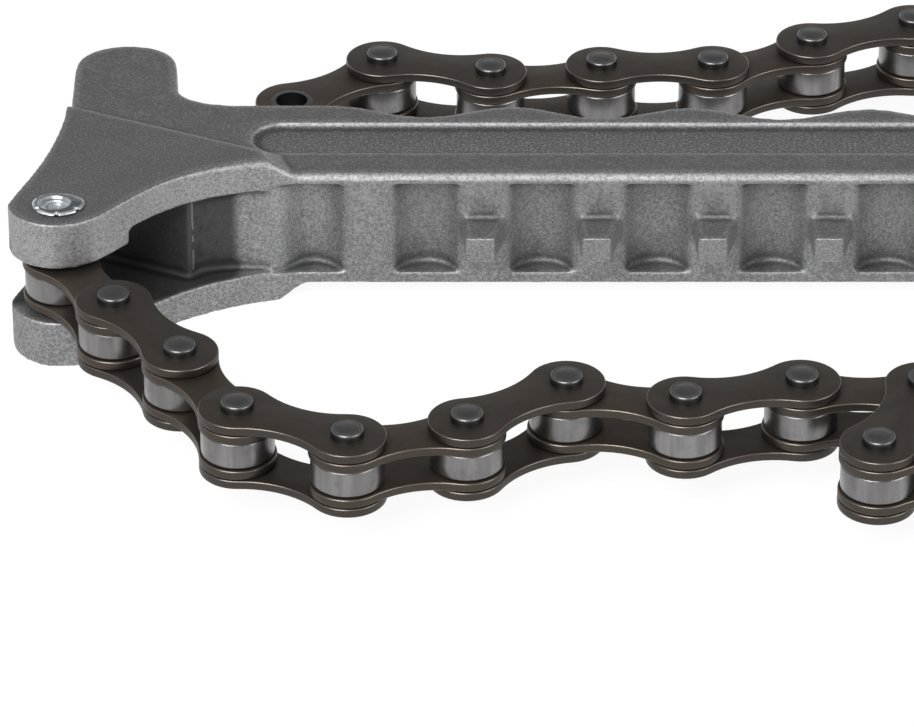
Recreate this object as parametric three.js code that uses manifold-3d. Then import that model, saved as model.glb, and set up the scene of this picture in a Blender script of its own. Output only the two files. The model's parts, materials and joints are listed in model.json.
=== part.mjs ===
// A chain filter wrench: a cast aluminium handle with a roller chain riveted into its clevis.
// Millimetres, +Z up. The casting is drawn with the rivet's axis at X = Y = 0 and its head's
// underside at Z = 0. X runs along the handle, and -Y is the side with the pegs.
// At the end the whole wrench is moved so that its box stands centred on the origin.
import * as THREE from 'three';
import { mergeVertices } from 'three/addons/utils/BufferGeometryUtils.js';
import Module from 'manifold-3d';

const wasm = await Module();
wasm.setup();

// Roller chain, half inch pitch
const PITCH = 12.7;
const PLATE_END_RADIUS = 4.1;
const PLATE_WAIST = 5.2;
const PLATE_THICKNESS = 1.0;
const PLATE_GAP = 0.15;
const ROLLER_RADIUS = 3.875;
const ROLLER_LENGTH = 3.1;
const ROLLER_END_PLAY = 0.1;
const PIN_RADIUS = 1.78;
const PIN_STAND = 0.95;
const BUSHING_WALL = 0.45;
const RUNNING_CLEARANCE = 0.15;

// Chain course, as headings in degrees from +X. The shown links were read off the photograph.
const NEAR_HEADINGS = [-60, -54, -60, -25, 14, 35, -14, 15, -2, -115];
const RUN_OUT_LINKS = 7;
const RUN_OUT_HEADING = 7;
const TURN_LINKS = 8;
const RUN_BACK_LINKS = 6;
const RUN_BACK_HEADING = 177.4;
const FAR_HEADINGS = [200, 205, 181, 187, 167, 217];

// Head of the casting
const HEAD_THICKNESS = 17.7;
const BOSS_REACH = 5.5;
const BOSS_FRONT = 4.6;
const BOSS_CENTRE = 0.6;
const MOULD_SHIFT = 0.4;
const PARTING_OVERLAP = 0.1;
const JAW_LENGTH = 21.7;
const JAW_STEP = 0.3;
const HORN_REACH = 38.9;
const HORN_WIDTH = 11.8;
const HORN_SHOULDER = 33.5;
const HORN_ROOT = 28.9;
const HORN_FILLET = 7.0;
const NECK_LENGTH = 25.0;
const UPPER_CREST_X = 22.3;
const LOWER_CREST_X = 23.4;
const CREST_SKEW = 20;
const STEP_RUN = 2.8;
const STEP_OVERLAP = 2.0;
const CREASE_END_X = 20.4;
const CREASE_END_Y = 12.4;

// Clevis in the head
const SLOT_CLEARANCE = 0.6;
const PAD_RADIUS = 7.6;
const FLANGE_THICKNESS = 3.8;
const SLOT_CORNER_X = 14.0;
const SLOT_CORNER_Y = 7.8;
const SLOT_WALL_RISE = 0.45;
const HOLLOW_BITE = 0.8;
const HOLLOW_DEPTH = 2.7;
const HOLLOW_END = 23.6;

// Handle of the casting
const HANDLE_OFFSET = 9.7;
const HANDLE_WIDTH = 15.7;
const HANDLE_END_WIDTH = 14.2;
const HANDLE_THICKNESS = 13.9;
const UPPER_LIP = 1.3;
const LOWER_LIP = 1.5;
const NOTCH_DEPTH = 2.6;
const NOTCH_RADIUS = 3.95;
const NOTCH_SHOULDER = 1.75;
const FIRST_NOTCH_RUN = 4.4;
const FIRST_NOTCH = 26.9;
const NOTCHES = 11;
const PEGS = 9;
const PEG_BASE = 4.6;
const PEG_TIP = 3.2;
const PEG_LEAN = 0.5;
const PEG_REACH = 4.5;
const PEG_HEIGHT = 3.1;
const WAVE_START = 29.4;
const WAVE_TAIL = 5.7;
const WAVE_DEPTH = 2.5;
const WAVES = 6;
const TROUGH_START = 20.4;
const TROUGH_WIDTH = 6.4;
const TROUGH_OFFSET = 14.9;
const TROUGH_DEPTH = 0.7;
const TAIL = 28.6;
const END_RADIUS = 10.5;
const HANG_HOLE_RADIUS = 4.5;

// Rivet
const RIVET_HEAD_RADIUS = 2.9;
const RIVET_HEAD_HEIGHT = 0.9;
const RIVET_DIMPLE_RADIUS = 1.5;
const RIVET_DIMPLE_DEPTH = 0.6;
const RIVET_FOOT_RADIUS = 3.3;
const RIVET_FOOT_HEIGHT = 1.0;
const FIT_GAP = 0.15;

// Facets: pins and the bores that they turn in have as many sides, so their clearance is even.
const OVERRUN = 5;
const PIN_SIDES = 8;
const ROLLER_SIDES = 12;
const ROUND_SIDES = 40;
const PLATE_END_STEPS = 4;
const CURVE_STEPS = 10;
const NOTCH_STEPS = 5;
const WAVE_STEPS = 8;

// Places worked out from the sizes above
const MID = HEAD_THICKNESS / 2;
const INNER_FACE = ROLLER_LENGTH / 2 + ROLLER_END_PLAY;
const INNER_BACK = INNER_FACE + PLATE_THICKNESS;
const OUTER_FACE = INNER_BACK + PLATE_GAP;
const OUTER_BACK = OUTER_FACE + PLATE_THICKNESS;
const PIN_END = OUTER_BACK + PIN_STAND;
const BORE_RADIUS = boreAround(PIN_RADIUS, RUNNING_CLEARANCE);
const BUSHING_RADIUS = BORE_RADIUS + BUSHING_WALL;
const SLOT_HALF = INNER_BACK + SLOT_CLEARANCE;
const HANDLE_LOW = MID - HANDLE_THICKNESS / 2;
const HANDLE_HIGH = MID + HANDLE_THICKNESS / 2;
const HANDLE_BACK = HANDLE_OFFSET + HANDLE_WIDTH;
const FIRST_PEG = FIRST_NOTCH + 1.5 * PITCH;
const LAST_NOTCH = FIRST_NOTCH + (NOTCHES - 1) * PITCH;
const HANDLE_END = LAST_NOTCH + TAIL;
const WAVE_PERIOD = (LAST_NOTCH - WAVE_TAIL - WAVE_START) / WAVES;
const END_CENTRE = { x: HANDLE_END - END_RADIUS, y: HANDLE_OFFSET + HANDLE_END_WIDTH / 2 };

// The radius of a bore with PIN_SIDES flats that clears a pin of this radius as it turns
function boreAround(radius, clearance) {
  return (radius + clearance) / Math.cos(Math.PI / PIN_SIDES);
}

function solidOf(geometry) {
  geometry.deleteAttribute('normal');
  geometry.deleteAttribute('uv');
  const welded = mergeVertices(geometry, 1e-5);
  return new wasm.Manifold(new wasm.Mesh({
    numProp: 3,
    vertProperties: new Float32Array(welded.attributes.position.array),
    triVerts: new Uint32Array(welded.index.array),
  }));
}

function geometryOf(solid) {
  const { vertProperties, triVerts } = solid.getMesh();
  const geometry = new THREE.BufferGeometry();
  geometry.setAttribute('position', new THREE.BufferAttribute(vertProperties, 3));
  geometry.setIndex(new THREE.BufferAttribute(triVerts, 1));
  geometry.computeVertexNormals();
  return geometry;
}

function polygon(points) {
  return new THREE.Shape(points.map(([x, y]) => new THREE.Vector2(x, y)));
}

// A plan shape raised from z0 to z1
function prism(shape, z0, z1, curveSegments = CURVE_STEPS) {
  const geometry = new THREE.ExtrudeGeometry(shape, {
    depth: z1 - z0, bevelEnabled: false, curveSegments,
  });
  return solidOf(geometry.translate(0, 0, z0));
}

// A round bar along Z
function bar(x, y, radius, z0, z1, sides) {
  const geometry = new THREE.CylinderGeometry(radius, radius, z1 - z0, sides);
  return solidOf(geometry.rotateX(Math.PI / 2).translate(x, y, (z0 + z1) / 2));
}

// A profile of (distance, height) points that runs both ways along a plan line
function ridge(profile, origin, angle, halfLength) {
  const geometry = new THREE.ExtrudeGeometry(polygon(profile), {
    depth: 2 * halfLength, bevelEnabled: false,
  });
  geometry.translate(0, 0, -halfLength).rotateX(Math.PI / 2).rotateZ(angle);
  return solidOf(geometry.translate(origin.x, origin.y, 0));
}

// Outline of a link plate: two round ends drawn in to a waist by arcs that touch them
function plateShape() {
  const half = PITCH / 2;
  const waist = PLATE_WAIST / 2;
  const waistRadius = (half ** 2 + waist ** 2 - PLATE_END_RADIUS ** 2)
    / (2 * (PLATE_END_RADIUS - waist));
  const touch = Math.atan2(waist + waistRadius, half);
  const shape = new THREE.Shape();
  shape.absarc(0, 0, PLATE_END_RADIUS, touch, 2 * Math.PI - touch, false);
  shape.lineTo(half, -waist);
  shape.absarc(PITCH, 0, PLATE_END_RADIUS, touch - Math.PI, Math.PI - touch, false);
  shape.lineTo(half, waist);
  return shape;
}

function platePair(face, back) {
  const shape = plateShape();
  return prism(shape, face, back, PLATE_END_STEPS).add(prism(shape, -back, -face, PLATE_END_STEPS));
}

// Two outer plates and the two pins riveted into them
function outerLink() {
  let link = platePair(OUTER_FACE, OUTER_BACK);
  for (const x of [0, PITCH]) {
    link = link.add(bar(x, 0, PIN_RADIUS, -PIN_END, PIN_END, PIN_SIDES));
  }
  return link;
}

// Two inner plates pressed onto two bushings, with their rollers joined to them if asked
function innerLink(withRollers) {
  let link = platePair(INNER_FACE, INNER_BACK);
  for (const x of [0, PITCH]) {
    link = link.add(bar(x, 0, BUSHING_RADIUS, -INNER_BACK, INNER_BACK, PIN_SIDES));
    if (withRollers) {
      link = link.add(bar(x, 0, ROLLER_RADIUS, -ROLLER_LENGTH / 2, ROLLER_LENGTH / 2, ROLLER_SIDES));
    }
  }
  for (const x of [0, PITCH]) {
    link = link.subtract(bar(x, 0, BORE_RADIUS, -PIN_END, PIN_END, PIN_SIDES));
  }
  return link;
}

function roller() {
  const bore = boreAround(BUSHING_RADIUS, RUNNING_CLEARANCE);
  return bar(0, 0, ROLLER_RADIUS, -ROLLER_LENGTH / 2, ROLLER_LENGTH / 2, ROLLER_SIDES)
    .subtract(bar(0, 0, bore, -ROLLER_LENGTH, ROLLER_LENGTH, PIN_SIDES));
}

// Y of the handle's back edge, which narrows towards the end and has shallow finger waves
function backEdge(x) {
  const along = (x - WAVE_START) / (WAVES * WAVE_PERIOD);
  const crest = HANDLE_BACK - (HANDLE_WIDTH - HANDLE_END_WIDTH) * along;
  return crest - WAVE_DEPTH / 2 * (1 - Math.cos(2 * Math.PI * (x - WAVE_START) / WAVE_PERIOD));
}

// The front of boss and neck differs a little between the two halves of the mould
const UPPER_HALF = { shift: MOULD_SHIFT, riseShare: 0.887, crestX: UPPER_CREST_X };
const LOWER_HALF = { shift: 0, riseShare: 0.61, crestX: LOWER_CREST_X };

// One S-curve from the boss to the handle's lip
function traceNeckFront(shape, half) {
  const bossShare = 0.29;
  const lipShare = 0.28;
  shape.bezierCurveTo(
    NECK_LENGTH * bossShare, half.shift - BOSS_FRONT,
    NECK_LENGTH * lipShare, HANDLE_OFFSET * half.riseShare,
    NECK_LENGTH, HANDLE_OFFSET,
  );
}

// The boss's round front left corner
function traceBossCorner(shape, half) {
  const roundShare = 0.55;
  const front = half.shift - BOSS_FRONT;
  shape.bezierCurveTo(
    -BOSS_REACH, BOSS_CENTRE + (front - BOSS_CENTRE) * roundShare,
    -BOSS_REACH * roundShare, front,
    0, front,
  );
}

// Plan outline of one half of the casting, horn and handle included, anticlockwise from the end of
// the jaw's long slightly hollow face
function castingShape(half) {
  const jaw = { lowShare: 0.92, highShare: 0.09, lowRiseShare: 0.115, highRiseShare: 0.53 };
  const shape = new THREE.Shape();
  shape.moveTo(-JAW_STEP, JAW_LENGTH);
  shape.bezierCurveTo(
    -BOSS_REACH * jaw.highShare, JAW_LENGTH * jaw.highRiseShare,
    -BOSS_REACH * jaw.lowShare, JAW_LENGTH * jaw.lowRiseShare,
    -BOSS_REACH, BOSS_CENTRE,
  );
  traceBossCorner(shape, half);
  traceNeckFront(shape, half);
  shape.lineTo(END_CENTRE.x, HANDLE_OFFSET);
  shape.lineTo(END_CENTRE.x, HANDLE_OFFSET + HANDLE_END_WIDTH - WAVE_DEPTH / 2);
  for (let step = WAVES * WAVE_STEPS; step >= 0; step -= 1) {
    const x = WAVE_START + step * WAVE_PERIOD / WAVE_STEPS;
    shape.lineTo(x, backEdge(x));
  }
  shape.lineTo(HORN_WIDTH + HORN_FILLET, HANDLE_BACK);
  traceHorn(shape);
  return shape;
}

// The horn: a concave fillet up its right side, a rounded tip and a straight left side
function traceHorn(shape) {
  const filletShare = 0.55;
  const crownShare = 0.3;
  const tipShare = 0.25;
  const crown = HORN_REACH - (HORN_REACH - HORN_SHOULDER) * crownShare;
  shape.bezierCurveTo(
    HORN_WIDTH + HORN_FILLET * (1 - filletShare), HANDLE_BACK,
    HORN_WIDTH, HORN_ROOT - (HORN_ROOT - HANDLE_BACK) * filletShare,
    HORN_WIDTH, HORN_ROOT,
  );
  shape.lineTo(HORN_WIDTH - JAW_STEP, HORN_SHOULDER);
  shape.bezierCurveTo(
    HORN_WIDTH - JAW_STEP, crown,
    HORN_WIDTH * (1 - tipShare), HORN_REACH,
    HORN_WIDTH / 2, HORN_REACH,
  );
  shape.bezierCurveTo(HORN_WIDTH * tipShare, HORN_REACH, 0, crown, 0, HORN_SHOULDER);
  shape.lineTo(0, JAW_LENGTH + JAW_STEP);
}

// The thicker front of the head. It ends in a steep step down to the handle's thickness, along a
// crease from the jaw's end towards the trough and then across the neck.
function thickHead(half, z0, z1) {
  const reach = HORN_REACH + NECK_LENGTH;
  const dip = HANDLE_LOW * STEP_OVERLAP / STEP_RUN;
  const step = [
    [-reach, 0], [0, 0], [STEP_RUN + STEP_OVERLAP, HANDLE_LOW + dip],
    [STEP_RUN + STEP_OVERLAP, HANDLE_HIGH - dip], [0, HEAD_THICKNESS], [-reach, HEAD_THICKNESS],
  ];
  const creaseAngle = Math.atan2(CREASE_END_Y - JAW_LENGTH, CREASE_END_X) + Math.PI / 2;
  const crease = ridge(step, { x: 0, y: JAW_LENGTH }, creaseAngle, reach);
  const skew = THREE.MathUtils.degToRad(CREST_SKEW);
  const neck = ridge(step, { x: half.crestX, y: HANDLE_OFFSET }, skew, reach);
  return prism(castingShape(half), z0, z1).intersect(crease).intersect(neck);
}

// The clevis slot, open to the front and to the left. It is narrow between the boss's two round
// pads and wider behind them, and ends in a slanted wall with a shallow hollow at its right.
function slotCutter() {
  const left = -BOSS_REACH - OVERRUN;
  const front = -BOSS_FRONT - OVERRUN;
  const rise = (SLOT_CORNER_X - left) * SLOT_WALL_RISE;
  const plan = polygon([
    [SLOT_CORNER_X, SLOT_CORNER_Y], [left, SLOT_CORNER_Y + rise], [left, front],
    [SLOT_CORNER_X, front],
  ]);
  const low = FLANGE_THICKNESS;
  const high = HEAD_THICKNESS - FLANGE_THICKNESS;
  const pads = bar(0, 0, PAD_RADIUS, 0, HEAD_THICKNESS, ROUND_SIDES);
  return prism(plan, low, high).subtract(pads)
    .add(prism(plan, MID - SLOT_HALF, MID + SLOT_HALF))
    .add(prism(hollowShape(front), low, high));
}

// The hollow right of the slot's corner, which runs out into the wall under the lip
function hollowShape(front) {
  const back = SLOT_CORNER_Y + HOLLOW_DEPTH;
  const pull = { cornerShare: 0.1, wallShare: 0.4, cornerRiseShare: 0.9 };
  const start = { x: SLOT_CORNER_X - HOLLOW_BITE, y: SLOT_CORNER_Y - HOLLOW_BITE };
  const length = HOLLOW_END - start.x;
  const shape = new THREE.Shape();
  shape.moveTo(start.x, start.y);
  shape.bezierCurveTo(
    start.x + length * pull.cornerShare, start.y + (back - start.y) * pull.cornerRiseShare,
    start.x + length * pull.wallShare, back,
    HOLLOW_END, HANDLE_OFFSET,
  );
  shape.lineTo(HOLLOW_END, front);
  shape.lineTo(start.x, front);
  return shape;
}

// One of the round notches that the rollers lie in, between the two lips. Round shoulders lead
// from it to the flat lands, but the wall beside the clevis runs gently into the first notch.
function notchCutter(index) {
  const x = FIRST_NOTCH + index * PITCH;
  const y = HANDLE_OFFSET + NOTCH_DEPTH - NOTCH_RADIUS;
  const shoulder = HANDLE_OFFSET + NOTCH_SHOULDER;
  const rise = shoulder - y;
  const reach = Math.sqrt((NOTCH_RADIUS + NOTCH_SHOULDER) ** 2 - rise ** 2);
  const touch = Math.atan2(rise, reach);
  const shape = new THREE.Shape();
  if (index === 0) {
    traceRunIn(shape, x);
  } else {
    shape.moveTo(x - reach, HANDLE_OFFSET - OVERRUN);
    shape.absarc(x - reach, shoulder, NOTCH_SHOULDER, -Math.PI / 2, -touch, false);
    shape.absarc(x, y, NOTCH_RADIUS, Math.PI - touch, Math.PI / 2, true);
  }
  shape.absarc(x, y, NOTCH_RADIUS, Math.PI / 2, touch, true);
  shape.absarc(x + reach, shoulder, NOTCH_SHOULDER, Math.PI + touch, 1.5 * Math.PI, false);
  shape.lineTo(x + reach, HANDLE_OFFSET - OVERRUN);
  return prism(shape, HANDLE_LOW + LOWER_LIP, HANDLE_HIGH - UPPER_LIP, NOTCH_STEPS);
}

// The left side of the first notch, down to its bottom at x
function traceRunIn(shape, x) {
  const easeShare = 0.45;
  const bottom = HANDLE_OFFSET + NOTCH_DEPTH;
  shape.moveTo(x - FIRST_NOTCH_RUN, HANDLE_OFFSET - OVERRUN);
  shape.lineTo(x - FIRST_NOTCH_RUN, HANDLE_OFFSET);
  shape.bezierCurveTo(
    x - FIRST_NOTCH_RUN * (1 - easeShare), HANDLE_OFFSET,
    x - FIRST_NOTCH_RUN * easeShare, bottom,
    x, bottom,
  );
}

// One of the pegs that the chain hooks onto. It narrows towards its tip, which leans to the clevis.
function peg(index) {
  const x = FIRST_PEG + index * PITCH;
  const base = HANDLE_OFFSET + NOTCH_DEPTH / 2;
  const tip = HANDLE_OFFSET - PEG_REACH;
  const tipLeft = x - PEG_LEAN - PEG_TIP / 2;
  return prism(polygon([
    [x - PEG_BASE / 2, base], [x - PEG_BASE / 2, HANDLE_OFFSET], [tipLeft, tip],
    [tipLeft + PEG_TIP, tip], [x + PEG_BASE / 2, HANDLE_OFFSET], [x + PEG_BASE / 2, base],
  ]), MID - PEG_HEIGHT / 2, MID + PEG_HEIGHT / 2);
}

// The long shallow trough in the top face, and its like in the underside
function troughCutter(z0, z1) {
  const radius = TROUGH_WIDTH / 2;
  const y = TROUGH_OFFSET + radius;
  const shape = new THREE.Shape();
  shape.absarc(TROUGH_START + radius, y, radius, Math.PI / 2, 1.5 * Math.PI, false);
  shape.absarc(LAST_NOTCH, y, radius, -Math.PI / 2, Math.PI / 2, false);
  return prism(shape, z0, z1);
}

function handleCasting() {
  const parting = MID + PARTING_OVERLAP;
  const rivetBore = boreAround(PIN_RADIUS, FIT_GAP);
  let casting = prism(castingShape(LOWER_HALF), HANDLE_LOW, parting)
    .add(prism(castingShape(UPPER_HALF), MID, HANDLE_HIGH))
    .add(thickHead(LOWER_HALF, 0, parting))
    .add(thickHead(UPPER_HALF, MID, HEAD_THICKNESS))
    .add(bar(END_CENTRE.x, END_CENTRE.y, END_RADIUS, 0, HEAD_THICKNESS, ROUND_SIDES));
  casting = casting.subtract(slotCutter());
  for (let index = 0; index < NOTCHES; index += 1) {
    casting = casting.subtract(notchCutter(index));
  }
  for (let index = 0; index < PEGS; index += 1) {
    casting = casting.add(peg(index));
  }
  return casting
    .subtract(troughCutter(HANDLE_HIGH - TROUGH_DEPTH, HANDLE_HIGH + OVERRUN))
    .subtract(troughCutter(HANDLE_LOW - OVERRUN, HANDLE_LOW + TROUGH_DEPTH))
    .subtract(bar(END_CENTRE.x, END_CENTRE.y, HANG_HOLE_RADIUS, -OVERRUN,
      HEAD_THICKNESS + OVERRUN, ROUND_SIDES))
    .subtract(bar(0, 0, rivetBore, -OVERRUN, HEAD_THICKNESS + OVERRUN, PIN_SIDES))
    .subtract(bar(0, 0, RIVET_FOOT_RADIUS + FIT_GAP, -OVERRUN,
      RIVET_FOOT_HEIGHT + 2 * FIT_GAP, ROUND_SIDES));
}

// The semi-tubular rivet: a flat foot sunk in the underside and a rolled, dimpled head on top
function clevisRivet() {
  const top = HEAD_THICKNESS + FIT_GAP;
  const crown = top + RIVET_HEAD_HEIGHT;
  const foot = FIT_GAP + RIVET_FOOT_HEIGHT;
  const shank = bar(0, 0, PIN_RADIUS, FIT_GAP, top + RIVET_HEAD_HEIGHT / 4, PIN_SIDES);
  const profile = [
    [0, top], [RIVET_HEAD_RADIUS, top], [RIVET_HEAD_RADIUS, top + RIVET_HEAD_HEIGHT / 3],
    [(RIVET_HEAD_RADIUS + RIVET_DIMPLE_RADIUS) / 2, crown], [RIVET_DIMPLE_RADIUS, crown],
    [0, crown - RIVET_DIMPLE_DEPTH],
  ].map(([r, z]) => new THREE.Vector2(r, z));
  const head = new THREE.LatheGeometry(profile, ROLLER_SIDES).rotateX(Math.PI / 2);
  return shank.add(solidOf(head))
    .add(bar(0, 0, RIVET_FOOT_RADIUS, FIT_GAP, foot, ROLLER_SIDES));
}

// Every link's heading in radians, from the clevis to the free end
function chainHeadings() {
  const turn = Array.from({ length: TURN_LINKS }, (_, index) => {
    const share = (index + 1) / (TURN_LINKS + 1);
    return RUN_OUT_HEADING + (RUN_BACK_HEADING - RUN_OUT_HEADING) * share;
  });
  return [
    ...NEAR_HEADINGS,
    ...Array(RUN_OUT_LINKS).fill(RUN_OUT_HEADING),
    ...turn,
    ...Array(RUN_BACK_LINKS).fill(RUN_BACK_HEADING),
    ...FAR_HEADINGS,
  ].map(THREE.MathUtils.degToRad);
}

const castMetal = new THREE.MeshStandardMaterial({ color: 0x8c8d8e, roughness: 0.6, metalness: 0.55 });
const zinc = new THREE.MeshStandardMaterial({ color: 0xd0d2d6, roughness: 0.25, metalness: 1 });
const plateSteel = new THREE.MeshStandardMaterial({ color: 0x4a443f, roughness: 0.42, metalness: 0.8 });
const rollerSteel = new THREE.MeshStandardMaterial({ color: 0x8f8f90, roughness: 0.35, metalness: 0.9 });

function named(name, solid, material) {
  const mesh = new THREE.Mesh(geometryOf(solid), material);
  mesh.name = name;
  return mesh;
}

// The chain: links in turn, each a group at its first pivot. The rollers of the links that show
// are pieces of their own, and those of the links out of sight are joined to their link.
function rollerChain() {
  const chain = new THREE.Group();
  const headings = chainHeadings();
  const shownStart = NEAR_HEADINGS.length + 1;
  const shownEnd = headings.length - FAR_HEADINGS.length;
  let x = 0;
  let y = 0;
  headings.forEach((heading, index) => {
    const number = String(index + 1).padStart(2, '0');
    const link = new THREE.Group();
    link.position.set(x, y, MID);
    link.rotation.z = heading;
    if (index % 2 === 1) {
      link.add(named(`outer_link_${number}`, outerLink(), plateSteel));
    } else {
      const shown = index < shownStart || index >= shownEnd;
      link.add(named(`inner_link_${number}`, innerLink(!shown), plateSteel));
      for (const [end, place] of shown ? [['a', 0], ['b', PITCH]] : []) {
        const mesh = named(`roller_${number}${end}`, roller(), rollerSteel);
        mesh.position.x = place;
        link.add(mesh);
      }
    }
    chain.add(link);
    x += PITCH * Math.cos(heading);
    y += PITCH * Math.sin(heading);
  });
  return chain;
}

const wrench = new THREE.Group();
wrench.add(named('handle_casting', handleCasting(), castMetal));
wrench.add(named('clevis_rivet', clevisRivet(), zinc));
wrench.add(rollerChain());

// The origin is under the middle of the whole wrench's box
wrench.updateMatrixWorld(true);
const box = new THREE.Box3().setFromObject(wrench, true);
const middle = box.getCenter(new THREE.Vector3());
wrench.position.set(-middle.x, -middle.y, -box.min.z);

export default wrench;
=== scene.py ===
# The chain wrench as it looks: cast handle, clevis rivet and every piece of the roller chain,
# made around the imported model. Metres, +Z up.
import json
import math

import bmesh
import bpy
import numpy as np
from bpy.props import FloatProperty, FloatVectorProperty, IntProperty, PointerProperty
from mathutils import Matrix, Vector

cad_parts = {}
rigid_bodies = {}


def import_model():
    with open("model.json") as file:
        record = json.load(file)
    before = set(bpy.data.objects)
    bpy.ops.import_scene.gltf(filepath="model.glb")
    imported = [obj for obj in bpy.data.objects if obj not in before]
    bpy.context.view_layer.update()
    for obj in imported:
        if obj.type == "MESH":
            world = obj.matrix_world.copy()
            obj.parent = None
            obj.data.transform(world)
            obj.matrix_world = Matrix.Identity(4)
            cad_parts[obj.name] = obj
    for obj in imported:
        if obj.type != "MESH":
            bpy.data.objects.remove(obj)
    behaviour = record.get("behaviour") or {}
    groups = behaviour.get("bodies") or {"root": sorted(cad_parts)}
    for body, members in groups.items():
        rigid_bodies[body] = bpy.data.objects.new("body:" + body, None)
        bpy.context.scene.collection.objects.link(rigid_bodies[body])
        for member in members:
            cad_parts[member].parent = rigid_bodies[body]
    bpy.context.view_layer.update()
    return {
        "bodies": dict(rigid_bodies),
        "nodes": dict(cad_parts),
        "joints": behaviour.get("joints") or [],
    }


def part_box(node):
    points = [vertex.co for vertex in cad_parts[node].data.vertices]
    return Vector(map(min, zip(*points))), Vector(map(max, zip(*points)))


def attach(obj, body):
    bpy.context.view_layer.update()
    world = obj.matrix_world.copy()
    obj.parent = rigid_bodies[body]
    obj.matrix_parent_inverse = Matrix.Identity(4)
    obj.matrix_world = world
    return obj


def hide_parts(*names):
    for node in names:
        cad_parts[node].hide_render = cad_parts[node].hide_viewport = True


bl_info = {
    "name": "Chain Wrench",
    "version": (1, 0, 0),
    "blender": (4, 5, 0),
    "location": "View3D > Sidebar > Chain Wrench",
    "description": "Makes a cast chain wrench, its rivet and roller chain around a packed model",
    "category": "Object",
}

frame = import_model()

MM = 0.001

# What the frame says about the chain and the rivet
JOINTS = {joint["name"]: joint for joint in frame["joints"]}
LINKS = sum(name.startswith("pivot_") for name in JOINTS)
PIVOTS = [Vector(JOINTS[f"pivot_{number:02d}"]["pos_m"]) for number in range(1, LINKS + 1)]
PIVOTS.append(Vector(JOINTS[f"roller_{LINKS:02d}b_spin"]["pos_m"]))
PITCH = (PIVOTS[1] - PIVOTS[0]).length
RIVET_AXIS = PIVOTS[0]
RIVET_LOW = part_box("clevis_rivet")[0].z
HEAD_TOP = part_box("handle_casting")[1].z

# Facets of turned and punched pieces
TURNED_SIDES = 64
END_STEPS = 26
WAIST_STEPS = 12
BEVEL_STEPS = 3
COVE_STEPS = 12
DISH_STEPS = 40
RIVET_SIDES = 3 * TURNED_SIDES

# Corners sharper than this, in degrees, stay crisp
CRISP_CORNER = 38
CRISP_RIM = 50

# The handle's rounded upper front edge: how far above the middle and behind the front it is
# looked for, and over how many of its widths the rounding fades
RIM_RISE = 3.3 * MM
RIM_DEPTH = 1.1 * MM
RIM_FADE = 1.6

# As shares of a notch's depth, its edge and the end of the front wall; how much painted shade the
# lands get
EDGE_SHARE = 0.08
WALL_SHARE = 1.2
LAND_SHARE = 0.5

# Widths over which the trough's coarse skin and the painted shade in the slot begin and end
TROUGH_BLUR = 0.5 * MM
SHADE_BLUR = 1.1 * MM
SHADE_EDGE = 0.15 * MM
SHADE_OVERLAP = 4 * SHADE_EDGE
SHADE_SLOPE = 0.25

# Rounded ends of bushings and rollers, and the rivet's split and uneven rim
BUSHING_BEVEL = 0.08 * MM
ROLLER_BEVEL = 0.3 * MM
SPLIT_DEPTH = 0.42 * MM
HALF_SPLIT = math.radians(7)
UNEVENNESS = 0.05 * MM

# The stage: strength of the floor's own white, the curve up to its wall and the camera's reach
FLOOR_WHITE = 1.04
COVE_RADIUS = 0.6
SIGHT = 12


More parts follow.
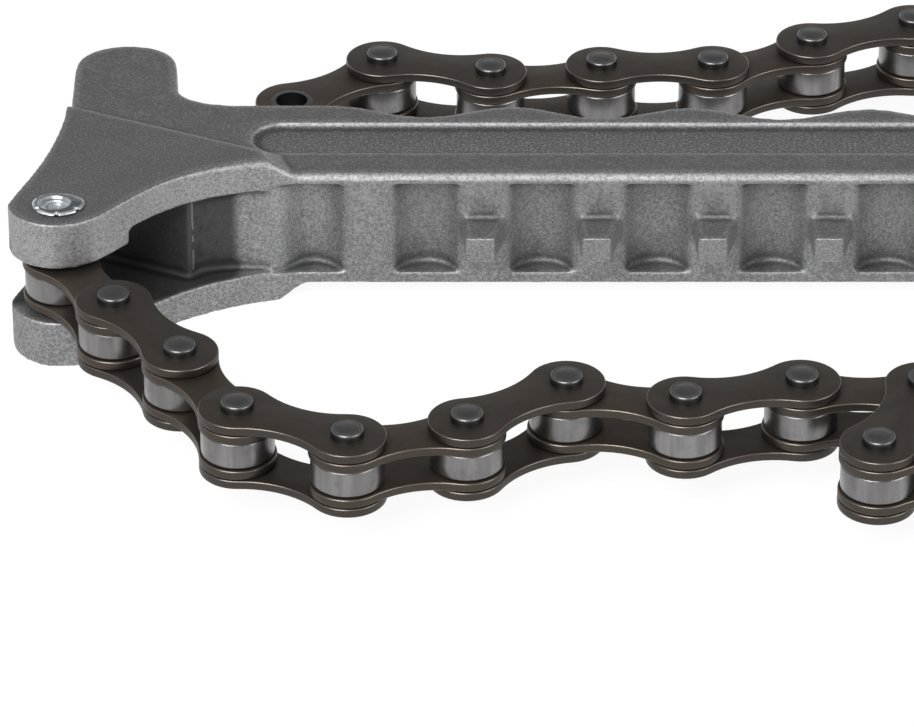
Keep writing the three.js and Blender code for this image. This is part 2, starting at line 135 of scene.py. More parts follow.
class HandleSettings(bpy.types.PropertyGroup):
    """The casting's skin, where it is marked, and its colours"""
    cell: FloatProperty(
        name="Cell", description="Size of the faces of the casting's skin",
        default=0.26 * MM, unit="LENGTH", precision=5)
    rounding: IntProperty(
        name="Rounding", description="How often the casting's edges are smoothed", default=7)
    waviness: FloatProperty(
        name="Waviness", description="Height of the uneven skin that casting leaves",
        default=0.07 * MM, unit="LENGTH", precision=5)
    wave_size: FloatProperty(
        name="Wave size", description="Width of the uneven patches",
        default=1.7 * MM, unit="LENGTH", precision=5)
    # The relief marks rims bright from rubbing, which carry a painted highlight, and creases that
    # get painted shade
    relief_height: FloatProperty(
        name="Wear height", description="How far an edge stands out where it is rubbed bright",
        default=0.12 * MM, unit="LENGTH", precision=5)
    blur_spread: IntProperty(
        name="Wear spread", description="How many faces wide the rubbed edges are", default=12)
    rim_width: FloatProperty(
        name="Rim width", description="Width of the handle's rounded upper front edge",
        default=0.55 * MM, unit="LENGTH", precision=5)
    rim_rounding: IntProperty(
        name="Rim rounding", description="How often that edge is smoothed again", default=22)
    rim_start: FloatProperty(
        name="Rim start", description="From the rivet's axis to where that edge begins",
        default=12 * MM, unit="LENGTH", precision=4)
    rim_ease: FloatProperty(
        name="Rim ease", description="Length over which that edge grows round",
        default=9 * MM, unit="LENGTH", precision=4)
    rim_end: FloatProperty(
        name="Rim end", description="From the rivet's axis to where that edge ends",
        default=160 * MM, unit="LENGTH", precision=4)
    notch_depth: FloatProperty(
        name="Notch depth", description="From the lands to the bottom of a notch",
        default=2.6 * MM, unit="LENGTH", precision=4)
    notch_reach: FloatProperty(
        name="Notch reach", description="From the middle of a notch to the land beside it",
        default=6 * MM, unit="LENGTH", precision=4)
    notch_height: FloatProperty(
        name="Notch height", description="From the chain's middle to a notch's foot and roof",
        default=5.1 * MM, unit="LENGTH", precision=4)
    notch_rounding: IntProperty(
        name="Notch rounding", description="How often the notches' upright edges are smoothed",
        default=24)
    above_pegs: FloatProperty(
        name="Above the pegs", description="From the chain's middle to clear of the pegs",
        default=2.5 * MM, unit="LENGTH", precision=4)
    first_notch: FloatProperty(
        name="First notch", description="From the rivet's axis to the end of the first notch",
        default=28 * MM, unit="LENGTH", precision=4)
    trough_start: FloatProperty(
        name="Trough start", description="From the rivet's axis to the end of the trough",
        default=20.4 * MM, unit="LENGTH", precision=4)
    trough_front: FloatProperty(
        name="Trough front", description="From the rivet's axis to the trough's front edge",
        default=14.9 * MM, unit="LENGTH", precision=4)
    trough_width: FloatProperty(
        name="Trough width", description="Width of the trough", default=6.4 * MM,
        unit="LENGTH", precision=4)
    trough_end: FloatProperty(
        name="Trough end", description="From the rivet's axis to the far end of the trough",
        default=157 * MM, unit="LENGTH", precision=4)
    # The slot's floor, roof, corner, slope, hollow and reach place the painted shade on its walls
    slot_low: FloatProperty(
        name="Slot floor", description="From the head's underside to the slot's floor",
        default=3.8 * MM, unit="LENGTH", precision=4)
    slot_high: FloatProperty(
        name="Slot roof", description="From the head's underside to the slot's roof",
        default=13.9 * MM, unit="LENGTH", precision=4)
    slot_corner: FloatVectorProperty(
        name="Slot corner", description="From the rivet's axis to the corner of the back wall",
        default=(14 * MM, 7.8 * MM), size=2, subtype="TRANSLATION")
    slot_slope: FloatProperty(
        name="Slot slope", description="How steeply the back wall runs back, left of its corner",
        default=0.45)
    hollow_depth: FloatProperty(
        name="Hollow", description="How far the slot goes back right of its corner",
        default=2.7 * MM, unit="LENGTH", precision=4)
    slot_reach: FloatProperty(
        name="Slot reach", description="How far along the handle the slot is dark",
        default=18.8 * MM, unit="LENGTH", precision=4)
    metal: FloatVectorProperty(
        name="Cast metal", description="Colour of the casting's skin", subtype="COLOR",
        default=(0.28, 0.281, 0.283), min=0, max=1)
    # Colour of rims bright from rubbing, with their painted highlight, and of bright grains and
    # scuffs
    worn_and_highlight: FloatVectorProperty(
        name="Worn metal", description="Colour of rubbed edges and bright grains", subtype="COLOR",
        default=(0.5, 0.5, 0.505), min=0, max=1)
    # Colour of the painted shade in the creases, the notches and the slot
    painted_shade: FloatVectorProperty(
        name="Painted shade", description="Colour of what lies in the hollows", subtype="COLOR",
        default=(0.045, 0.045, 0.046), min=0, max=1)


class ChainSettings(bpy.types.PropertyGroup):
    """Sizes and colours of the roller chain"""
    plate_radius: FloatProperty(
        name="Plate end", description="Radius of a plate's round ends",
        default=4.1 * MM, unit="LENGTH", precision=5)
    plate_waist: FloatProperty(
        name="Plate waist", description="Width of a plate at its middle",
        default=5.2 * MM, unit="LENGTH", precision=5)
    plate_thickness: FloatProperty(
        name="Plate thickness", description="Thickness of a plate",
        default=1.0 * MM, unit="LENGTH", precision=5)
    plate_bevel: FloatProperty(
        name="Plate edge", description="Rounding of a plate's edges",
        default=0.16 * MM, unit="LENGTH", precision=5)
    inner_face: FloatProperty(
        name="Inner plate", description="From the chain's middle to an inner plate",
        default=1.65 * MM, unit="LENGTH", precision=5)
    outer_face: FloatProperty(
        name="Outer plate", description="From the chain's middle to an outer plate",
        default=2.8 * MM, unit="LENGTH", precision=5)
    pin_radius: FloatProperty(
        name="Pin", description="Radius of a pin", default=1.74 * MM, unit="LENGTH", precision=5)
    pin_end: FloatProperty(
        name="Pin end", description="From the chain's middle to the end of a pin",
        default=4.72 * MM, unit="LENGTH", precision=5)
    bushing_radius: FloatProperty(
        name="Bushing", description="Outer radius of a bushing",
        default=2.4 * MM, unit="LENGTH", precision=5)
    roller_radius: FloatProperty(
        name="Roller", description="Radius of a roller", default=3.87 * MM,
        unit="LENGTH", precision=5)
    roller_length: FloatProperty(
        name="Roller length", description="Length of a roller", default=3.08 * MM,
        unit="LENGTH", precision=5)
    clearance: FloatProperty(
        name="Clearance", description="Running clearance of pins and rollers",
        default=0.05 * MM, unit="LENGTH", precision=5)
    outer_steel: FloatVectorProperty(
        name="Outer plates", description="Colour of the outer plates", subtype="COLOR",
        default=(0.115, 0.097, 0.083), min=0, max=1)
    inner_steel: FloatVectorProperty(
        name="Inner plates", description="Colour of the inner plates", subtype="COLOR",
        default=(0.125, 0.102, 0.084), min=0, max=1)
    pin_steel: FloatVectorProperty(
        name="Pins", description="Colour of the pins", subtype="COLOR",
        default=(0.16, 0.16, 0.163), min=0, max=1)
    roller_steel: FloatVectorProperty(
        name="Rollers", description="Colour of the rollers", subtype="COLOR",
        default=(0.215, 0.21, 0.21), min=0, max=1)


class RivetSettings(bpy.types.PropertyGroup):
    """Sizes and colour of the clevis rivet"""
    head_radius: FloatProperty(
        name="Head", description="Radius of the rolled head", default=2.85 * MM,
        unit="LENGTH", precision=5)
    head_height: FloatProperty(
        name="Head height", description="Height of the rolled head", default=0.5 * MM,
        unit="LENGTH", precision=5)
    dish_depth: FloatProperty(
        name="Dish depth", description="Depth of the hollow in the head", default=1.1 * MM,
        unit="LENGTH", precision=5)
    ripple: FloatProperty(
        name="Ripple", description="Height of the rolled rings in the hollow",
        default=0.03 * MM, unit="LENGTH", precision=5)
    tilt_share: FloatProperty(
        name="Tilt", description="How steeply the back half of the head falls", default=0.13)
    oval_share: FloatProperty(
        name="Oval", description="How much narrower the head is from front to back", default=0.1)
    dish_shift: FloatProperty(
        name="Dish shift", description="How far the hollow lies off the rivet's axis",
        default=0.45 * MM, unit="LENGTH", precision=5)
    dish_radius: FloatProperty(
        name="Dish", description="Radius of the hollow in the head", default=1.85 * MM,
        unit="LENGTH", precision=5)
    foot_radius: FloatProperty(
        name="Foot", description="Radius of the foot", default=3.2 * MM,
        unit="LENGTH", precision=5)
    foot_height: FloatProperty(
        name="Foot height", description="Height of the foot", default=1.0 * MM,
        unit="LENGTH", precision=5)
    shank_radius: FloatProperty(
        name="Shank", description="Radius of the shank", default=1.74 * MM,
        unit="LENGTH", precision=5)
    zinc: FloatVectorProperty(
        name="Zinc", description="Colour of the plating", subtype="COLOR",
        default=(0.8, 0.85, 0.9), min=0, max=1)


class StageSettings(bpy.types.PropertyGroup):
    """Camera, light and floor"""
    lens: FloatProperty(
        name="Lens", description="Focal length on a 36 mm sensor", default=238.3)
    pitch: FloatProperty(
        name="Pitch", description="How far the camera looks down",
        default=math.radians(32.2), subtype="ANGLE")
    camera_place: FloatVectorProperty(
        name="Camera", description="The camera's place, from the rivet's axis on the floor",
        default=(42.97 * MM, -560.43 * MM, 350.55 * MM), subtype="TRANSLATION")
    sun_strength: FloatProperty(
        name="Sun", description="Strength of the soft key light", default=2.8)
    sun_softness: FloatProperty(
        name="Softness", description="Angle that the key light fills",
        default=math.radians(38), subtype="ANGLE")
    sun_height: FloatProperty(
        name="Height", description="The key light's height above the floor",
        default=math.radians(44), subtype="ANGLE")
    sun_side: FloatProperty(
        name="Side", description="How far left of the camera the key light stands",
        default=math.radians(28), subtype="ANGLE")
    fill_strength: FloatProperty(
        name="Fill", description="Strength of the soft light at the right", default=1.5)
    fill_height: FloatProperty(
        name="Fill height", description="The right light's height above the floor",
        default=math.radians(22), subtype="ANGLE")
    fill_side: FloatProperty(
        name="Fill side", description="How far right of the camera the second light stands",
        default=math.radians(62), subtype="ANGLE")
    sky: FloatProperty(
        name="Sky", description="Level of the light from all round", default=0.27)
    floor_glow: FloatProperty(
        name="Floor glow", description="Share of the floor's white that casts no shadow",
        default=0.88, min=0, max=1)
    floor_radius: FloatProperty(
        name="Floor", description="Radius of the floor", default=4, unit="LENGTH")
    wall_height: FloatProperty(
        name="Wall", description="Height of the low wall round the floor", default=1,
        unit="LENGTH")


class Wire:
    """A socket of a material, or a number, that can stand in a sum"""

    def __init__(self, recipe, socket):
        self.recipe = recipe
        self.socket = socket

    def __add__(self, other):
        return self.recipe.sum("ADD", self, other)

    def __radd__(self, other):
        return self.recipe.sum("ADD", other, self)

    def __sub__(self, other):
        return self.recipe.sum("SUBTRACT", self, other)

    def __rsub__(self, other):
        return self.recipe.sum("SUBTRACT", other, self)

    def __mul__(self, other):
        return self.recipe.sum("MULTIPLY", self, other)

    def __rmul__(self, other):
        return self.recipe.sum("MULTIPLY", other, self)

    def clamped(self):
        """This value kept between 0 and 1"""
        return self.recipe.node("ShaderNodeClamp", inputs={"Value": self})

    def centred(self):
        """Noise spread out to run from -0.5 to 0.5"""
        return self.ramp(0.3, 0.7) - 0.5

    def ramp(self, low, high):
        """0 below low and 1 above high, with a smooth rise between"""
        settings = {"interpolation_type": "SMOOTHSTEP"}
        inputs = {"Value": self, "From Min": low, "From Max": high}
        return self.recipe.node("ShaderNodeMapRange", settings, inputs)


class Recipe:
    """One material and its nodes"""

    def __init__(self, name):
        self.material = bpy.data.materials.new(name)
        self.material.use_nodes = True
        self.tree = self.material.node_tree
        self.tree.nodes.clear()

    def node(self, kind, settings=None, inputs=None, output=0):
        """Adds a node of any type, sets it up, feeds its sockets and gives one of its outputs"""
        made = self.tree.nodes.new(kind)
        for name, value in (settings or {}).items():
            setattr(made, name, value)
        for name, value in (inputs or {}).items():
            if isinstance(value, Wire):
                self.tree.links.new(value.socket, made.inputs[name])
            else:
                made.inputs[name].default_value = value
        return Wire(self, made.outputs[output]) if made.outputs else None

    def sum(self, operation, first, second):
        """One step of arithmetic on two Wires or numbers"""
        return self.node("ShaderNodeMath", {"operation": operation}, {0: first, 1: second})

    def mix(self, share, first, second):
        """A colour between two, each a Wire or three numbers"""
        first, second = (c if isinstance(c, Wire) else (*c, 1) for c in (first, second))
        return self.node("ShaderNodeMix", {"data_type": "RGBA"}, {0: share, 6: first, 7: second}, 2)

    def place(self):
        """The piece's own coordinates"""
        return self.node("ShaderNodeTexCoord", output="Object")

    def shifted_place(self):
        """The piece's own coordinates, moved by an amount that differs from piece to piece"""
        chance = self.node("ShaderNodeObjectInfo", output="Random")
        return self.node("ShaderNodeVectorMath", {"operation": "ADD"}, {0: self.place(), 1: chance})

    def stretched(self, place, factors):
        """Coordinates scaled along each axis"""
        return self.node("ShaderNodeVectorMath", {"operation": "MULTIPLY"}, {0: place, 1: factors})

    def noise(self, place, size, detail=2, roughness=0.55):
        """Noise whose patches are about so wide"""
        inputs = {"Vector": place, "Scale": 1 / size, "Detail": detail, "Roughness": roughness}
        return self.node("ShaderNodeTexNoise", None, inputs)

    def attribute(self, name):
        """A value that the mesh holds at each point"""
        return self.node("ShaderNodeAttribute", {"attribute_name": name}, output="Fac")

    def height_of(self, vector):
        """The upright coordinate of a place or a direction"""
        return self.node("ShaderNodeSeparateXYZ", None, {0: vector}, output="Z")

    def level(self):
        """How level the surface lies, from 0 on an upright wall to 1 on a top or an underside"""
        up = self.height_of(self.node("ShaderNodeTexCoord", output="Normal"))
        return up * up

    def bump(self, height, depth, strength):
        """Fine relief that is too small for the mesh"""
        inputs = {"Height": height, "Distance": depth, "Strength": strength}
        return self.node("ShaderNodeBump", None, inputs)

    def finish(self, colour, roughness, metallic, bump=None):
        """Ends the recipe in a metal surface and gives its material"""
        inputs = {"Base Color": colour, "Roughness": roughness, "Metallic": metallic}
        if bump is not None:
            inputs["Normal"] = bump
        surface = self.node("ShaderNodeBsdfPrincipled", None, inputs)
        self.node("ShaderNodeOutputMaterial", None, {"Surface": surface})
        return self.material


def shades(colour, share):
    """A colour made darker (share below 1) or lighter"""
    return [min(1.0, share * c) for c in colour]


def cast_metal(handle):
    """As-cast aluminium, bright from rubbing at its rims with a painted highlight there, coarse in
    the troughs, with painted shade on flat tops, low on the walls, in the creases, notches and slot
    """
    r = Recipe("cast_metal")
    place = r.place()
    grain = r.noise(place, 0.29 * MM, detail=3, roughness=0.85)
    pebble = r.noise(place, 0.55 * MM, detail=3, roughness=0.6)
    patch = r.noise(place, 3.2 * MM, detail=5, roughness=0.65)
    scratch = r.noise(r.stretched(place, (0.35, 1.6, 1)), 0.5 * MM, detail=4, roughness=0.7)
    relief = r.attribute("relief")
    coarse = r.attribute("coarse")
    dark = r.attribute("dark")
    deep = r.attribute("deep")
    level = r.level()
    upright = 1 - level
    flat = level.ramp(0.6, 0.92) * (1 - coarse)
    height = r.height_of(place)

    # Light and dark grain: strong in the troughs, weak on flat tops. Painted shade darkens the flat
    # tops and the walls low down, and lightens the walls high up
    contrast = 1.25 - 0.35 * flat + 2.6 * coarse
    tone = 0.5 + contrast * (0.95 * grain.centred() + 0.1 * pebble.centred())
    # Painted shade: flat tops darker than the walls
    tone = tone + 0.16 * patch.centred() - 0.38 * flat - 0.62 * coarse
    # Painted shade low on the walls and painted light high on them
    tone = tone + 0.3 * (height.ramp(2 * MM, 15 * MM) - 0.5) * upright

    # Bright metal: rims bright from rubbing by use with a painted highlight on them, brighter high
    # up where more light falls, scuffs and single bright grains
    edge = relief.ramp(0.1, 0.7) * level.ramp(0.03, 0.3) * (0.2 + 0.8 * grain.ramp(0.36, 0.6))
    rubbed_and_highlit = edge * (0.1 + 0.25 * height.ramp(3 * MM, 7 * MM))
    scuff = scratch.ramp(0.62, 0.72) * flat * 0.2
    spark = grain.ramp(0.6, 0.7) * (0.3 - 0.12 * flat + 1.3 * coarse)

    # Painted shade: in the creases, in the notches and on the lands beside them, and all over the
    # walls of the slot
    crevice_shade = (0 - relief).ramp(0.08, 0.9) * (0.6 - 0.3 * deep)
    # Painted shade in the notches, and less on the lands beside them
    notch = deep * upright * 0.26
    # Painted shade over the walls of the slot
    slot_shade = dark * 0.88

    skin = r.mix(tone.clamped(), shades(handle.metal, 0.62), shades(handle.metal, 1.38))
    skin = r.mix((rubbed_and_highlit + spark + scuff).clamped(), skin, handle.worn_and_highlight)
    skin = r.mix((crevice_shade + notch + slot_shade).clamped(), skin, handle.painted_shade)
    roughness = 0.5 + 0.1 * pebble - 0.1 * edge
    rough = grain * (0.6 - 0.3 * flat + coarse) + pebble * (0.45 - 0.2 * flat + 0.6 * coarse)
    return r.finish(skin, roughness, 0.8, r.bump(rough, 0.13 * MM, 0.5))


def plate_steel(name, colour):
    """Oiled brown steel with oily smears, a painted highlight on the rounded edges and painted
    shade on the punched walls
    """
    r = Recipe(name)
    place = r.shifted_place()
    smear = r.noise(r.stretched(place, (1, 1.8, 1)), 3.4 * MM, detail=4)
    stain = r.noise(place, 1.6 * MM, detail=4, roughness=0.65)
    speck = r.noise(place, 0.3 * MM)
    level = r.level()
    steep_shade = 1 - level.ramp(0.02, 0.3)
    rim = level.ramp(0.1, 0.3) * (1 - level.ramp(0.8, 0.98))
    red, green, blue = colour
    grey = (red + green + blue) / 3
    tone = r.mix(smear.ramp(0.3, 0.7) * 0.55, colour, shades(colour, 0.72))
    tone = r.mix(stain.ramp(0.55, 0.75) * 0.35, tone, (1.25 * red, 0.85 * green, 0.7 * blue))
    tone = r.mix(speck.ramp(0.62, 0.76) * 0.25, tone, shades(colour, 1.8))
    # Painted shade: the upright punched walls darker
    tone = r.mix(steep_shade * 0.8, tone, [0.4 * c + 0.1 * grey for c in colour])
    # Painted highlight along the rounded edges
    tone = r.mix(rim * 0.5, tone, [1.7 * c + 0.8 * grey for c in colour])
    roughness = 0.41 + 0.14 * smear - 0.14 * rim
    return r.finish(tone, roughness, 0.92, r.bump(speck + stain, 0.02 * MM, 0.3))


def pin_steel(colour):
    """Dark grey pin ends with a glossy rolled rim that carries a painted highlight, and painted
    shade down their sides
    """
    r = Recipe("pin_steel")
    place = r.shifted_place()
    scuff = r.noise(r.stretched(place, (1, 2.2, 1)), 0.8 * MM, detail=4, roughness=0.65)
    speck = r.noise(place, 0.2 * MM)
    level = r.level()
    flat = level.ramp(0.9, 0.99)
    steep_shade = 1 - level.ramp(0.1, 0.5)
    tone = r.mix(scuff.ramp(0.35, 0.7) * 0.5, colour, shades(colour, 0.66))
    tone = r.mix(speck.ramp(0.6, 0.75) * 0.3, tone, shades(colour, 1.7))
    # Painted highlight on the rounded rim
    tone = r.mix((1 - flat) * 0.5, tone, shades(colour, 1.7))
    # Painted shade down the upright sides
    tone = r.mix(steep_shade * 0.85, tone, shades(colour, 0.25))
    roughness = 0.29 + 0.14 * scuff + 0.04 * flat
    return r.finish(tone, roughness, 0.96, r.bump(scuff + speck, 0.02 * MM, 0.4))


def roller_steel(colour):
    """Satin grey rollers with fine upright streaks and smears"""
    r = Recipe("roller_steel")
    place = r.shifted_place()
    streak = r.noise(r.stretched(place, (1, 1, 0.1)), 0.5 * MM, detail=4, roughness=0.7)
    band = r.noise(r.stretched(place, (1, 1, 0.12)), 2.4 * MM)
    smear = r.noise(place, 1.8 * MM, detail=4)
    tone = r.mix(streak.ramp(0.35, 0.68) * 0.45, shades(colour, 1.25), shades(colour, 0.7))
    tone = r.mix(band.ramp(0.4, 0.62) * 0.5, tone, shades(colour, 0.6))
    tone = r.mix(smear.ramp(0.5, 0.72) * 0.4, tone, shades(colour, 0.5))
    return r.finish(tone, 0.24 + 0.16 * smear, 0.95, r.bump(streak, 0.02 * MM, 0.4))


def zinc_plate(colour):
    """Bright zinc with small hammer marks, painted shade on its level faces and upright walls"""
    r = Recipe("zinc_plate")
    place = r.place()
    dent = r.noise(place, 0.5 * MM, detail=3)
    stain = r.noise(place, 1.1 * MM, detail=4)
    level = r.level()
    flat = level.ramp(0.86, 0.98)
    steep_shade = 1 - level.ramp(0.08, 0.4)
    tone = r.mix(stain.ramp(0.36, 0.66) * 0.7, colour, shades(colour, 0.3))
    # Painted shade on the level faces
    tone = r.mix(flat * 0.92, tone, shades(colour, 0.2))
    # Painted shade on the upright walls
    tone = r.mix(steep_shade * 0.6, tone, shades(colour, 0.25))
    return r.finish(tone, 0.32 + 0.14 * stain, 0.9, r.bump(dent, 0.05 * MM, 0.5))


def white_stage(stage):
    """A white floor that shows part of the light that falls on it, so shadows stay faint"""
    r = Recipe("white_stage")
    white = (1, 1, 1, 1)
    matt = r.node("ShaderNodeBsdfDiffuse", None, {"Color": white})
    glow = r.node("ShaderNodeEmission", None, {"Color": white, "Strength": FLOOR_WHITE})
    straight, mirrored, through = (
        r.node("ShaderNodeLightPath", output=f"Is {kind} Ray")
        for kind in ("Camera", "Glossy", "Transmission")
    )
    glow_share = (straight + mirrored + through).clamped() * stage.floor_glow
    both = r.node("ShaderNodeMixShader", None, {0: glow_share, 1: matt, 2: glow})
    r.node("ShaderNodeOutputMaterial", None, {"Surface": both})
    return r.material


def mesh_from(bm, name, sharp=CRISP_CORNER):
    """Closes a bmesh into a mesh that shades smooth except over sharp corners"""
    bmesh.ops.recalc_face_normals(bm, faces=bm.faces)
    mesh = bpy.data.meshes.new(name)
    bm.to_mesh(mesh)
    bm.free()
    mesh.shade_smooth()
    mesh.set_sharp_from_angle(angle=math.radians(sharp))
    return mesh


def join_rings(bm, rings, closed=False):
    """Faces between one ring of vertices and the next; a ring of one vertex is a point"""
    pairs = list(zip(rings, rings[1:]))
    if closed:
        pairs.append((rings[-1], rings[0]))
    for low, high in pairs:
        count = max(len(low), len(high))
        for i in range(count):
            j = (i + 1) % count
            corners = (
                low[i % len(low)], low[j % len(low)],
                high[j % len(high)], high[i % len(high)],
            )
            bm.faces.new(list(dict.fromkeys(corners)))


def circle(bm, radius, height, x=0.0, y=0.0, shape=None, sides=TURNED_SIDES):
    """A level ring of vertices about an upright axis; shape changes the radius by angle"""
    ring = []
    for side in range(sides):
        angle = 2 * math.pi * side / sides
        reach = radius if shape is None else shape(radius, height, angle)
        place = (x + reach * math.cos(angle), y + reach * math.sin(angle), height)
        ring.append(bm.verts.new(place))
    return ring


def turned(bm, profile, x=0.0, y=0.0, closed=False, shape=None, sides=TURNED_SIDES):
    """A turned piece from a profile of (radius, height) about an upright axis"""
    rings = []
    for radius, height in profile:
        if radius == 0:
            rings.append([bm.verts.new((x, y, height))])
        else:
            rings.append(circle(bm, radius, height, x, y, shape, sides))
    join_rings(bm, rings, closed)


def plate_outline(chain):
    """Points and outward normals of a link plate, anticlockwise"""
    half = PITCH / 2
    waist = chain.plate_waist / 2
    radius = chain.plate_radius
    waist_radius = (half ** 2 + waist ** 2 - radius ** 2) / (2 * (radius - waist))
    touch = math.atan2(waist + waist_radius, half)
    # Each arc's middle, radius, first and last angle, side that is outside, and steps
    arcs = [
        (0, 0, radius, touch, 2 * math.pi - touch, 1, END_STEPS),
        (half, -waist - waist_radius, waist_radius, math.pi - touch, touch, -1, WAIST_STEPS),
        (PITCH, 0, radius, touch - math.pi, math.pi - touch, 1, END_STEPS),
        (half, waist + waist_radius, waist_radius, -touch, touch - math.pi, -1, WAIST_STEPS),
    ]
    outline = []
    for x, y, reach, start, end, side, steps in arcs:
        for step in range(steps):
            angle = start + (end - start) * step / steps
            ray = Vector((math.cos(angle), math.sin(angle)))
            outline.append((Vector((x, y)) + reach * ray, side * ray))
    return outline


def rounded_steps(low, high, bevel):
    """(inset, height) pairs up a wall whose two edges are rounded"""
    quarter = [math.pi / 2 * step / BEVEL_STEPS for step in range(BEVEL_STEPS + 1)]
    rise = [(bevel * (1 - math.sin(a)), low + bevel * (1 - math.cos(a))) for a in quarter]
    return rise + [(inset, low + high - height) for inset, height in reversed(rise)]


def plate(bm, chain, low, high, hole_radius):
    """One punched plate with two holes"""
    outline = plate_outline(chain)
    rings = []
    for inset, height in rounded_steps(low, high, chain.plate_bevel):
        ring = [(*(point - inset * normal), height) for point, normal in outline]
        rings.append([bm.verts.new(place) for place in ring])
    join_rings(bm, rings)
    rims = [[rings[0]], [rings[-1]]]
    for x in (0, PITCH):
        wall = [circle(bm, hole_radius, height, x) for height in (low, high)]
        join_rings(bm, wall)
        for loops, ring in zip(rims, wall):
            loops.append(ring)
    for loops in rims:
        edges = [bm.edges.get((ring[i - 1], ring[i])) for ring in loops for i in range(len(ring))]
        bmesh.ops.triangle_fill(bm, use_beauty=True, edges=edges)


def plates_mesh(name, chain, face, hole_radius):
    """The two plates of a link"""
    bm = bmesh.new()
    plate(bm, chain, face, face + chain.plate_thickness, hole_radius)
    plate(bm, chain, -face - chain.plate_thickness, -face, hole_radius)
    return mesh_from(bm, name)


def pins_mesh(chain):
    """Two pins with staked ends: a rounded rim and a faint ring"""
    r = chain.pin_radius
    top = chain.pin_end
    half = [
        (0, top - 0.02 * MM), (0.72 * r, top - 0.03 * MM), (0.76 * r, top - 0.06 * MM),
        (0.8 * r, top - 0.02 * MM), (0.86 * r, top - 0.02 * MM), (0.92 * r, top - 0.07 * MM),
        (0.965 * r, top - 0.15 * MM), (0.99 * r, top - 0.25 * MM), (r, top - 0.37 * MM),
    ]
    profile = half + [(radius, -height) for radius, height in reversed(half)]
    bm = bmesh.new()
    for x in (0, PITCH):
        turned(bm, profile, x)
    return mesh_from(bm, "pins", CRISP_RIM)


def tube_profile(outer, inner, length, bevel):
    """A hollow round piece with its outer edges rounded"""
    walls = rounded_steps(-length / 2, length / 2, bevel)
    outside = [(outer - inset, height) for inset, height in walls]
    return outside + [(inner, length / 2), (inner, -length / 2)]


def bushings_mesh(chain):
    """The two bushings of an inner link, flush with its plates"""
    inner = chain.pin_radius + chain.clearance
    length = 2 * (chain.inner_face + chain.plate_thickness)
    profile = tube_profile(chain.bushing_radius, inner, length, BUSHING_BEVEL)
    bm = bmesh.new()
    for x in (0, PITCH):
        turned(bm, profile, x, closed=True)
    return mesh_from(bm, "bushings")


def roller_mesh(chain):
    """One roller, free on its bushing"""
    inner = chain.bushing_radius + chain.clearance
    profile = tube_profile(chain.roller_radius, inner, chain.roller_length, ROLLER_BEVEL)
    bm = bmesh.new()
    turned(bm, profile, closed=True)
    return mesh_from(bm, "roller")


def rivet_mesh(rivet):
    """A low oval head rolled out round a stepped hollow, with four splits, a shank and a foot"""
    splits = [math.radians(a) for a in (-149, -91, -33, 150)]
    seat = HEAD_TOP + 0.02 * MM
    top = seat + rivet.head_height
    foot = RIVET_LOW + rivet.foot_height
    outer = rivet.head_radius
    crown = 0.86 * outer
    ripples = 4
    calm_share = 0.4

    def hand_made(radius, height, angle):
        """The hollow lies to the left, and the rim is oval, split and a little uneven"""
        if height < seat and radius > rivet.dish_radius:
            return radius
        oval = radius * (1 - rivet.oval_share * math.sin(angle) ** 2)
        if radius < crown:
            return oval - rivet.dish_shift * math.cos(angle) * min(1, radius / rivet.dish_radius)
        near = min(abs(math.remainder(angle - split, 2 * math.pi)) for split in splits)
        cut = SPLIT_DEPTH * max(0.0, 1 - near / HALF_SPLIT)
        return oval + UNEVENNESS * (math.sin(3 * angle + 1) + 0.6 * math.sin(7 * angle)) - cut

    profile = []
    for step in range(DISH_STEPS + 1):
        share = step / DISH_STEPS
        wall_share = max(0.0, share - calm_share)
        ripple = rivet.ripple * math.sin(2 * math.pi * wall_share * ripples)
        ripple *= min(1, wall_share * 8)
        height = top - rivet.dish_depth * (1 - share ** 1.5) + ripple
        profile.append((share * rivet.dish_radius, height))
    rim = [
        (1.06 * rivet.dish_radius, top + 0.03 * MM), (crown, top),
        (0.94 * outer, top - 0.07 * MM), (0.985 * outer, top - 0.17 * MM),
        (outer, top - 0.28 * MM), (0.96 * outer, seat + 0.15 * MM),
        (0.87 * outer, seat + 0.13 * MM), (0.8 * outer, seat),
    ]
    shank = [(rivet.shank_radius, seat - 0.01 * MM), (rivet.shank_radius, foot)]
    base = [
        (0.96 * rivet.foot_radius, foot), (rivet.foot_radius, foot - 0.12 * MM),
        (rivet.foot_radius, RIVET_LOW + 0.2 * MM),
        (0.94 * rivet.foot_radius, RIVET_LOW + 0.04 * MM),
        (0.85 * rivet.foot_radius, RIVET_LOW), (0, RIVET_LOW),
    ]
    bm = bmesh.new()
    whole = profile + rim + shank + base
    turned(bm, whole, RIVET_AXIS.x, RIVET_AXIS.y, shape=hand_made, sides=RIVET_SIDES)
    for vert in bm.verts:
        if vert.co.z > seat:
            vert.co.z -= rivet.tilt_share * max(0.0, vert.co.y - RIVET_AXIS.y)
    return mesh_from(bm, "clevis_rivet_skin", CRISP_RIM)


def read_points(mesh, name="co"):
    """The mesh's points, or their normals, one row each"""
    rows = np.empty(len(mesh.vertices) * 3)
    mesh.vertices.foreach_get(name, rows)
    return rows.reshape(-1, 3)


def from_rivet(mesh):
    """Where the points lie: x and y from the rivet's axis, z from the floor"""
    return (read_points(mesh) - np.array((RIVET_AXIS.x, RIVET_AXIS.y, 0))).T


